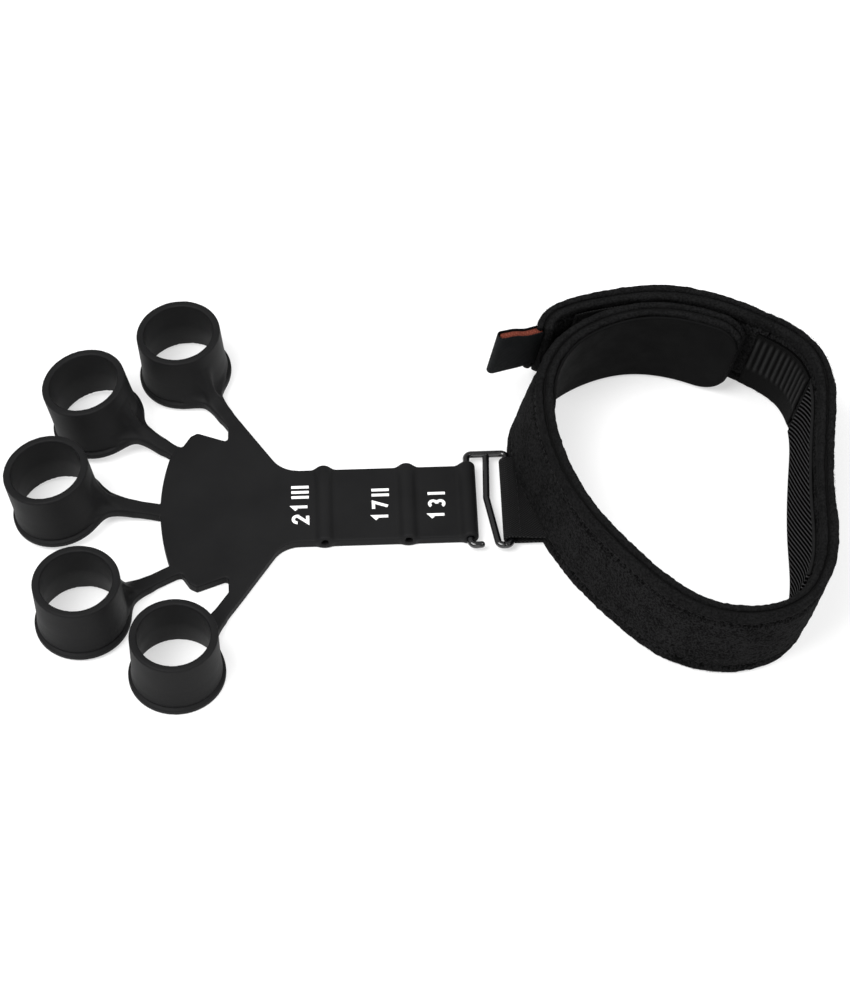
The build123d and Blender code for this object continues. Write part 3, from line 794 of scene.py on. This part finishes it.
def strip(name, path, start, end, inside, outside, low, high, material, slot, step=0.5, fine_side=1,
          round_start=0.0, round_end=0.0, corner=0.0, end_corner=0.0, slant=0.0, puff=None, lift=None,
          hug=None):
    """A strip of cloth that follows the wall. corner rounds both corners of its starting end, and
    end_corner the lower one of its other end. slant is how much later its starting end begins at
    the top than at the foot. hug is the offset that its thin ends lie against.
    puff(s, offset, height, out) gives how far its surface swells along its own outward direction,
    and lift(s, height) how far its points are raised."""
    s = stations_between(start, end, step, max(round_start, corner and 0.6), round_end)
    outline = layer_outline(inside, outside, low, high, step, fine_side)
    offset, height, out, up = (np.broadcast_to(outline[:, k], (len(s), len(outline))).copy() for k in range(4))
    if puff is not None:
        swell = puff(s[:, None], offset, height, out)
        offset, height = offset + out * swell, height + up * swell
    middle = (inside + outside) / 2 if hug is None else hug
    for edge, towards in ((round_start or (corner and 0.6), s - start), (round_end, end - s)):
        if edge:
            share = np.sqrt(1 - (1 - np.clip(towards / edge, 0, 1)) ** 2)[:, None]
            offset = middle + (offset - middle) * share
    if corner:
        cut = corner_cut(corner, s - start)[:, None]
        centre = (low + high) / 2
        height = centre + (height - centre) * (1 - cut / ((high - low) / 2))
    if end_corner:
        cut = corner_cut(end_corner, end - s)[:, None]
        height = high - (high - height) * (1 - cut / (high - low))
    if lift is not None:
        height = height + lift(s[:, None], height)
    height = np.maximum(height, 0.02)
    fading = np.clip(1 - (s - start) / (3 * max(slant, 1.0)), 0, 1)[:, None]
    places = s[:, None] + slant * fading * (height - low) / (high - low)
    everything, faces = grid_mesh(wall_place(path, places, offset, height))
    uv = np.stack([places, height], axis=-1).reshape(-1, 2)
    ends = np.array([[s[0], (low + high) / 2], [s[-1], (low + high) / 2]])
    return add_mesh(name, everything, faces, material, uv=np.concatenate([uv, ends]))


def stitch_row(name, path, start, end, rows, pitch, length, radius, end_corner=0.0):
    """Single stitches along the wall. rows are (height, offset, side it faces). With end_corner they
    climb with the strip's rounded corner at the end of its path."""
    around, along = 6, 5
    turn = np.linspace(0, 2 * math.pi, around, endpoint=False)
    t = np.linspace(-1, 1, along)
    thick = np.sqrt(np.maximum(1 - t ** 2, 0.02))
    ds = np.repeat(t * length / 2, around)
    lift = np.tile(np.cos(turn), along) * np.repeat(thick, around) * radius
    rise = np.tile(np.sin(turn), along) * np.repeat(thick, around) * radius
    lift += np.repeat((1 - t ** 2) * 0.16 - 0.12, around)
    template = np.stack([ds, lift, rise], axis=-1)
    cells, faces = grid_mesh(template.reshape(along, around, 3))
    points, quads, caps = [], [], []
    count = 0
    for height, offset, side in rows:
        for s in np.arange(start + pitch / 2, end - pitch / 2, pitch):
            tilt = rng.normal(0, 0.08)
            s_here = s + rng.normal(0, 0.06)
            here = height
            if end_corner:
                cut = corner_cut(end_corner, path.length - s_here - cells[:, 0])
                here = STRAP_WIDTH - (STRAP_WIDTH - height) * (1 - cut / STRAP_WIDTH)
            h = here + cells[:, 2] + cells[:, 0] * tilt
            points.append(wall_place(path, s_here + cells[:, 0], offset + side * cells[:, 1], h))
            quads.append((faces[0] if side < 0 else faces[0][:, ::-1]) + count)
            caps.append((faces[1] if side < 0 else faces[1][:, ::-1]) + count)
            count += len(cells)
    return add_mesh(name, np.concatenate(points), [np.concatenate(quads), np.concatenate(caps)],
                    THREAD)


def fuzz(name, path, start, end, per_mm2, outline, end_corner=0.0):
    """Loose fibres that stand off the plush: thin pointed spikes, each a closed sliver. There are
    none where the keeper holds the strap's foot beside the hook."""
    heights = outline[:, 1]
    count = int((end - start) * (heights.max() - heights.min()) * per_mm2)
    s = rng.uniform(start, end, count)
    share = rng.uniform(0, len(outline) - 1.001, count)
    low = share.astype(int)
    part = (share - low)[:, None]
    here = outline[low] * (1 - part) + outline[low + 1] * part
    kept = (np.abs(s - path.pull_at) > 24) | (here[:, 1] > 9)
    if end_corner:
        kept &= here[:, 1] > corner_cut(end_corner, end - s) + 0.5
    here, s = here[kept], s[kept]
    count = len(s)
    offset, height, out, up = here.T
    long = rng.uniform(0.3, 0.6, count)
    sideways = rng.normal(0, 0.5, (count, 2))
    tip_s, tip_along = sideways.T * long[:, None].T
    stand = long * rng.uniform(0.2, 0.6, count)
    tip_offset = offset + out * stand - up * tip_along
    tip_height = np.maximum(height + up * stand + out * tip_along, 0.05)
    turn = rng.uniform(0, 2 * math.pi, count)
    points = []
    for k in range(3):
        angle = turn + k * 2 * math.pi / 3
        a, b = 0.05 * np.cos(angle), 0.05 * np.sin(angle)
        foot = np.maximum(height - up * 0.1 + out * b, 0.05)
        points.append(wall_place(path, s + a, offset - out * 0.1 - up * b, foot))
    points.append(wall_place(path, s + tip_s, tip_offset, tip_height))
    everything = np.stack(points, axis=1).reshape(-1, 3)
    first = np.arange(count)[:, None] * 4
    faces = np.concatenate([first + np.array(f) for f in ([0, 1, 3], [1, 2, 3], [2, 0, 3], [0, 2, 1])])
    return add_mesh(name, everything, [faces], FIBRE)


# ---------------------------------------------------------------- wrist strap
strap = Path(STRAP_LINE + FLAP_LINE)
strap.pull, strap.pull_at = 3.4, strap.nearest((89.4, 17.0))
hinge_s = strap.nearest(HINGE)
split_s = hinge_s - 7.0
end_s = strap.length
tongue_end_s = strap.nearest(PANEL_END)
webbing_s = (strap.nearest(WEBBING_START), strap.nearest(WEBBING_END) - 1.0)
elastic_s = (ELASTIC_START, ELASTIC_END)
WEBBING_SLANT = 12.0
SEAMS = (4.4, STRAP_WIDTH - 4.4)
FLAP_CORNER = 16.0
STEP = 0.45


def flap_blend(piece):
    before, after = (wall_place(strap, np.array(hinge_s + d), 0.0, np.array(17.0)) * MM for d in (-4.5, 5.5))
    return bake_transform(piece)


def swelling(side, strength):
    """How a padded layer's face swells: pinched at its seams, crowned between them, and uneven."""
    noise = {}

    def puff(s, offset, height, out):
        shape = offset.shape
        if shape not in noise:
            spacing = (float(np.median(np.diff(s[:, 0]))), 0.45)
            noise[shape] = (random_field(*shape, spacing, 22.0) * 0.10 + random_field(*shape, spacing, 5.0) * 0.035
                            + random_field(*shape, spacing, 1.3) * 0.05)
        facing = np.clip(out * side, 0, 1)
        pinch = sum(np.exp(-((height - seam) / 0.9) ** 2) for seam in SEAMS)
        crown = np.clip(np.sin(math.pi * (height - SEAMS[0]) / (SEAMS[1] - SEAMS[0])), 0, 1) ** 0.6
        covered = np.where((s < strap.nearest((96.5, 38.0))) & (side > 0), 0.4, 1.0)
        rim = 1 - 0.6 * facing
        return strength * (facing * (0.28 * crown - 0.85 * pinch) * covered + noise[shape] * (facing + rim) * covered)

    return puff


def layer(name, start, end, face, material, slot, **more):
    inside, outside = ((0.35, 2.6) if face > 0 else (-2.6, -0.15))
    piece = strip(name, strap, start, end, inside, outside, 0, STRAP_WIDTH, material, slot,
                  step=STEP, fine_side=face, puff=swelling(face, 1.0), **more)
    return piece


plush = layer("strap_plush_layer", 0, split_s, 1, PLUSH, "plush_loop", corner=9.0)
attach(plush, "strap")
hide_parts("strap_plush")
lining = layer("strap_lining_layer", 0, split_s, -1, LINING, "lining", corner=9.0)
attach(lining, "strap")
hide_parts("strap_lining")
core = strip("strap_foam_layer", strap, 1.5, split_s, -0.4, 0.6, 1.1, STRAP_WIDTH - 1.1, FOAM, "foam",
             step=1.2, corner=8.0)
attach(core, "strap")
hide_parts("strap_core")

flap_plush = layer("flap_plush_layer", split_s, end_s, 1, PLUSH, "plush_loop", round_end=0.9, end_corner=FLAP_CORNER)
flap_lining = layer("flap_lining_layer", split_s, end_s, -1, LINING, "lining", round_end=0.9, end_corner=FLAP_CORNER)
flap_core = strip("flap_foam_layer", strap, split_s, end_s - 1.2, -0.4, 0.6, 1.1, STRAP_WIDTH - 1.1, FOAM, "foam",
                  step=1.2, end_corner=FLAP_CORNER - 1)
for piece, node in ((flap_plush, "flap_plush"), (flap_lining, "flap_lining"), (flap_core, "flap_core")):
    flap_blend(piece)
    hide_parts(node)

# Sewn-on strips on the inside of the strap
panel = strip("tongue_cover", strap, 0.4, tongue_end_s, -3.55, -2.55, 0.9, STRAP_WIDTH - 1.2, PANEL, "smooth_panel",
              step=0.7, fine_side=-1, corner=8.6, round_end=7.0, hug=-2.55)
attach(panel, "strap")
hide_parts("tongue_panel")
webbing = strip("twill_webbing", strap, *webbing_s, -3.6, -2.6, TAPE_LOW, TAPE_HIGH, TWILL, "twill_tape",
                step=0.7, fine_side=-1, round_start=0.5, round_end=0.5, slant=WEBBING_SLANT)
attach(webbing, "strap")
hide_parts("reinforcing_webbing")


def ribs(s, offset, height, out):
    share = (s - elastic_s[0]) / (elastic_s[1] - elastic_s[0])
    wave = 0.5 - 0.5 * np.cos(2 * math.pi * RIB_COUNT * share)
    middle = np.clip((RIB_REACH - np.abs(height - RIB_MIDDLE)) / 3, 0, 1)
    return np.clip(-out, 0, 1) * 0.5 * wave ** 0.7 * middle


elastic = strip("ribbed_elastic_band", strap, *elastic_s, -3.3, -2.6, TAPE_LOW, TAPE_HIGH, ELASTIC, "elastic",
                step=0.22, fine_side=-1, round_start=0.4, round_end=0.4, puff=ribs)
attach(elastic, "strap")
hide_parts("ribbed_elastic")

flap_s = end_s - hinge_s
tape = strip("flap_hook_tape_strip", strap, hinge_s + 0.25 * flap_s, hinge_s + 0.8 * flap_s, -3.15, -2.55, 3.0,
             STRAP_WIDTH - 3.0, HOOK_TAPE, "hook_tape", step=0.8, fine_side=-1)
flap_blend(tape)
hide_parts("flap_hook_tape")

# Stitching
outer_rows = [(seam, 1.93, 1) for seam in SEAMS]
seam = stitch_row("strap_seam_stitches", strap, strap.nearest((92.0, 30.0)), split_s, outer_rows, 2.5, 1.9, 0.2)
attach(seam, "strap")
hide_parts("seam_threads")
flap_seam = stitch_row("flap_seam_stitches", strap, split_s, end_s - 3, outer_rows, 2.5, 1.9, 0.2, FLAP_CORNER)
flap_blend(flap_seam)
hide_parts("flap_seam_threads")
inner_rows = [(TAPE_LOW + 1.5, -3.5, -1), (TAPE_HIGH - 1.6, -3.5, -1)]
tape_seam = stitch_row("webbing_stitches", strap, webbing_s[0] + WEBBING_SLANT, webbing_s[1], inner_rows, 2.0, 1.3,
                       0.15)
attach(tape_seam, "strap")

# Loose fibres on the plush
outer = layer_outline(0.35, 2.6, 0, STRAP_WIDTH, 1.0)
facing_out = outer[outer[:, 2] > -0.2]
fibres = fuzz("strap_fibres", strap, strap.nearest((96.5, 38.0)), split_s, 1.9, facing_out)
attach(fibres, "strap")
flap_fibres = fuzz("flap_fibres", strap, split_s, end_s - 0.5, 1.9, facing_out, FLAP_CORNER)
flap_blend(flap_fibres)


# ---------------------------------------------------------------- wire hook
def sweep_tube(line, radius, round_start=False):
    """Points and faces of a round wire along points in plan, at the hook's height."""
    line = np.array(line, float)
    lengths = np.concatenate([[0], np.cumsum(np.linalg.norm(np.diff(line, axis=0), axis=1))])
    s, thick = lengths, np.ones(len(lengths))
    if round_start:
        cap = np.linspace(0, math.pi / 2, 7)[:-1]
        beyond = lengths[lengths > radius]
        s = np.concatenate([radius * (1 - np.cos(cap)), beyond])
        thick = np.concatenate([np.sin(cap), np.ones(len(beyond))])
    place = np.stack([np.interp(s, lengths, line[:, k]) for k in (0, 1)], axis=-1)
    direction = unit(np.gradient(line, lengths, axis=0))
    along = unit(np.stack([np.interp(s, lengths, direction[:, k]) for k in (0, 1)], axis=-1))
    side = np.stack([along[:, 1], -along[:, 0]], axis=-1)
    turn = np.linspace(0, 2 * math.pi, 24, endpoint=False)
    reach = radius * np.maximum(thick, 0.03)[:, None]
    flat = place[:, None, :] + side[:, None, :] * (reach * np.cos(turn))[..., None]
    height = HOOK_Z + reach * np.sin(turn)
    return grid_mesh(np.concatenate([flat, height[..., None]], axis=-1))


def bent_line(corners, bend):
    """Straight runs with an arc at each inner corner, as points."""
    radii = [0] + [bend] * (len(corners) - 2) + [0]
    points = rounded(corners, radii)
    even = []
    for a, b in zip(points[:-1], points[1:]):
        count = max(1, int(np.linalg.norm(b - a) / 1.5))
        even += [a + (b - a) * k / count for k in range(count)]
    return even + [points[-1]]


hook_middle = (HOOK_RIGHT + MIDDLE_LEG[0][0]) / 2
open_leg = bent_line([(HOOK_LEFT + 4.2, HOOK_BOTTOM + 0.5), (HOOK_LEFT, HOOK_BOTTOM + 0.2), (HOOK_LEFT, HOOK_TOP),
                      (HOOK_RIGHT, HOOK_TOP), (HOOK_RIGHT, HOOK_BOTTOM), (hook_middle, HOOK_BOTTOM)], HOOK_BEND)
middle_leg = bent_line([(hook_middle, HOOK_BOTTOM), *MIDDLE_LEG], HOOK_BEND)
parts = [sweep_tube(open_leg, WIRE, round_start=True), sweep_tube(middle_leg, WIRE)]
shift = len(parts[0][0])
hook = add_mesh("wire_hook_body", np.concatenate([parts[0][0], parts[1][0]]),
                [parts[0][1][0], parts[0][1][1], parts[1][1][0] + shift, parts[1][1][1] + shift],
                ENAMEL)
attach(hook, "hook")
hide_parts("wire_hook")


# ---------------------------------------------------------------- keeper webbing
def keeper_line():
    """The loop's middle line in the x-z plane, from the strap over the leg and back under it."""
    middle, radius = np.array([HOOK_RIGHT, HOOK_Z]), WIRE + 0.15 + 0.55
    top, low = np.array([KEEPER_END, 3.55]), np.array([KEEPER_END, 1.25])
    line = [top, np.array([87.0, 3.85]), np.array([83.6, 4.25])]
    for angle in np.linspace(math.radians(78), math.radians(282), 22):
        line.append(middle + radius * np.array([math.cos(angle), math.sin(angle)]))
    line += [np.array([83.6, 1.2]), np.array([87.0, 1.2]), low]
    return np.array(line)


def keeper_ends(y):
    """Where the keeper ends at each place across it: inside the strap's wall, which curves away."""
    s = np.linspace(strap.pull_at - 25, strap.pull_at + 50, 300)
    wall = wall_place(strap, s, np.zeros(len(s)), np.full(len(s), 2.5))
    order = np.argsort(wall[:, 1])
    return np.interp(y, wall[order, 1], wall[order, 0])


def build_keeper():
    line = keeper_line()
    lengths = np.concatenate([[0], np.cumsum(np.linalg.norm(np.diff(line, axis=0), axis=1))])
    s = np.linspace(0, lengths[-1], 90)
    place = np.stack([np.interp(s, lengths, line[:, k]) for k in (0, 1)], axis=-1)
    direction = unit(np.gradient(place, s, axis=0))
    side = np.stack([-direction[:, 1], direction[:, 0]], axis=-1)
    outline = layer_outline(-0.55, 0.55, -KEEPER_WIDTH / 2, KEEPER_WIDTH / 2, 0.5)
    off, across = outline[:, 0], outline[:, 1]
    spacing = (float(s[1] - s[0]), 0.5)
    uneven = random_field(len(s), len(outline), spacing, 6.0) * 0.05
    reach = off[None, :] + uneven * outline[None, :, 2]
    x = place[:, None, 0] + side[:, None, 0] * reach
    y = np.broadcast_to(across, reach.shape) + uneven * 2
    ends = keeper_ends(across)
    beyond = np.clip((x - KEEPER_FREE_END) / (KEEPER_END - KEEPER_FREE_END), 0, None)
    x = np.where(beyond > 0, KEEPER_FREE_END + beyond * (ends - KEEPER_FREE_END), x)
    points = np.stack([x, y, place[:, None, 1] + side[:, None, 1] * reach], axis=-1)
    everything, faces = grid_mesh(points)
    everything[:, 2] = np.maximum(everything[:, 2], 0.05)
    uv = np.stack([np.broadcast_to(s[:, None], reach.shape), np.broadcast_to(across, reach.shape)], axis=-1)
    uv = np.concatenate([uv.reshape(-1, 2), [[0, 0], [s[-1], 0]]])
    mean_length = lengths[-1] - 2 * np.mean(KEEPER_END - ends)
    return add_mesh("keeper_loop", everything, faces, KEEPER, uv=uv), float(mean_length)


keeper, keeper_length = build_keeper()
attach(keeper, "strap")
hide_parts("keeper_webbing")


def build_keeper_stitches():
    """A row of stitches across the keeper, just behind the leg it holds."""
    around, along = 6, 5
    turn = np.linspace(0, 2 * math.pi, around, endpoint=False)
    t = np.linspace(-1, 1, along)
    thick = np.sqrt(np.maximum(1 - t ** 2, 0.02)) * 0.16
    template = np.stack([np.repeat(np.ones(along), around) * np.tile(np.cos(turn), along) * np.repeat(thick, around),
                         np.repeat(t * 0.85, around),
                         np.tile(np.sin(turn), along) * np.repeat(thick, around)
                         + np.repeat((1 - t ** 2) * 0.15, around)], axis=-1)
    cells, faces = grid_mesh(template.reshape(along, around, 3))
    points, quads, caps = [], [], []
    for index, y in enumerate(np.arange(-12.8, 13.0, 2.6)):
        points.append(cells + np.array([HOOK_RIGHT + 2.7 + rng.normal(0, 0.05), y, 4.78]))
        quads.append(faces[0] + index * len(cells))
        caps.append(faces[1] + index * len(cells))
    return add_mesh("keeper_stitches", np.concatenate(points), [np.concatenate(quads), np.concatenate(caps)],
                    THREAD)


keeper_stitches = build_keeper_stitches()
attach(keeper_stitches, "strap")
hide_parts("keeper_stitching")


# ---------------------------------------------------------------- pull tab
tab_path = Path(TAB_LINE)


def tab_blend(piece):
    ends = (tab_path.nearest((88.0, 43.1)) + 0.6, tab_path.nearest((85.6, 42.2)) + 1.8)
    before, after = (wall_place(tab_path, np.array(s), 0.0, np.array(24.0)) * MM for s in ends)
    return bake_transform(piece)


def tab_wave(s, height):
    """How far the tab's points are lifted: its upper edge climbs towards the tip, in a low wave."""
    share = np.clip((height - TAB_LOW) / (TAB_HIGH - TAB_LOW), 0, 1)
    return share * (3.4 * np.clip(s / tab_path.length, 0, 1) - 1.8 + 0.25 * np.sin(2 * math.pi * s / 7.5))


def build_ribbon():
    """The folded ribbon: one ply out along the tab, round its tip, and back."""
    reach, radius = tab_path.length, 1.5
    straight = np.linspace(0, reach, 24)
    turn = np.linspace(0, math.pi, 13)[1:-1]
    s = np.concatenate([straight, reach + radius * np.sin(turn), straight[::-1]])
    middle = np.concatenate([np.full(24, radius), radius * np.cos(turn), np.full(24, -radius)])
    facing = np.concatenate([np.ones(24), np.cos(turn), -np.ones(24)])
    ahead = np.concatenate([np.zeros(24), np.sin(turn), np.zeros(24)])
    outline = layer_outline(-0.16, 0.16, TAB_LOW, TAB_HIGH, 0.7)
    off, height = outline[:, 0], outline[:, 1]
    points = wall_place(tab_path, s[:, None] + ahead[:, None] * off[None, :],
                        middle[:, None] + facing[:, None] * off[None, :],
                        height[None, :] + tab_wave(s[:, None], height[None, :]))
    everything, faces = grid_mesh(points)
    lengths = np.concatenate([[0], np.cumsum(np.linalg.norm(np.diff(points[:, 0], axis=0), axis=1))])
    uv = np.stack([np.broadcast_to(lengths[:, None], (len(s), len(off))),
                   np.broadcast_to(height, (len(s), len(off)))], axis=-1)
    uv = np.concatenate([uv.reshape(-1, 2), [[0, 24], [lengths[-1], 24]]])
    return add_mesh("tab_ribbon_fold", everything, faces, RIBBON, uv=uv), float(lengths[-1])


ribbon, ribbon_length = build_ribbon()
tab_blend(ribbon)
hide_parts("pull_tab")


tab_core = strip("tab_red_layer", tab_path, 0.2, tab_path.length + 0.7, -1.22, 1.22, TAB_LOW + 0.2, TAB_HIGH - 0.15,
                 TAB_RED, "tab_core", step=0.5, round_end=1.1, lift=tab_wave)
tab_blend(tab_core)
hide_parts("pull_tab_core")


# ---------------------------------------------------------------- floor, light and camera
def area_light(name, place, towards, size, power, size_y=None):
    data = bpy.data.lights.new(name, "AREA")
    data.shape = "RECTANGLE"
    data.size, data.size_y = size, size_y or size
    data.energy = power
    light = bpy.data.objects.new(name, data)
    light.location = place
    light.rotation_euler = (Vector(towards) - Vector(place)).to_track_quat("-Z", "Y").to_euler()
    bpy.context.scene.collection.objects.link(light)


def build_floor():
    material, shader = new_material("floor", (0.5, 0.5, 0.5), 0.9, 0.1)
    shader.inputs["Emission Color"].default_value = (1, 1, 1, 1)
    shader.inputs["Emission Strength"].default_value = 0.52
    n = Nodes(material)
    n.link(n.colours(n.noise(40, 2), (0.49, 0.49, 0.49), (0.51, 0.51, 0.51)), shader.inputs["Base Color"])
    mesh = bpy.data.meshes.new("floor")
    mesh.from_pydata([(-4, -4, 0), (4, -4, 0), (4, 4, 0), (-4, 4, 0)], [], [(0, 1, 2, 3)])
    mesh.materials.append(material)
    floor = bpy.data.objects.new("floor", mesh)
    floor.location = (0.05, 0, -0.0001)
    bpy.context.scene.collection.objects.link(floor)


build_floor()
world = bpy.data.worlds.new("studio")
world.use_nodes = True
world.node_tree.nodes["Background"].inputs["Color"].default_value = (1, 1, 1, 1)
world.node_tree.nodes["Background"].inputs["Strength"].default_value = 0.46
bpy.context.scene.world = world
middle_of_part = (0.055, 0.0, 0.01)
area_light("key", (-0.55, -0.35, 1.25), middle_of_part, 0.9, 23)
area_light("fill", (0.95, -0.15, 0.95), middle_of_part, 0.7, 9)
area_light("front", (0.05, -1.3, 0.45), middle_of_part, 0.9, 3.2)

camera_data = bpy.data.cameras.new("camera")
camera_data.sensor_width = 36.0
camera_data.lens = 121.1
camera = bpy.data.objects.new("camera", camera_data)
camera.location = (0.0321, -0.6070, 0.7934)
looking_at = Vector((0.0556, 0.0040, 0.0))
camera.rotation_euler = (looking_at - camera.location).to_track_quat("-Z", "Y").to_euler()
bpy.context.scene.collection.objects.link(camera)
bpy.context.scene.camera = camera
bpy.context.scene.view_settings.view_transform = "Standard"
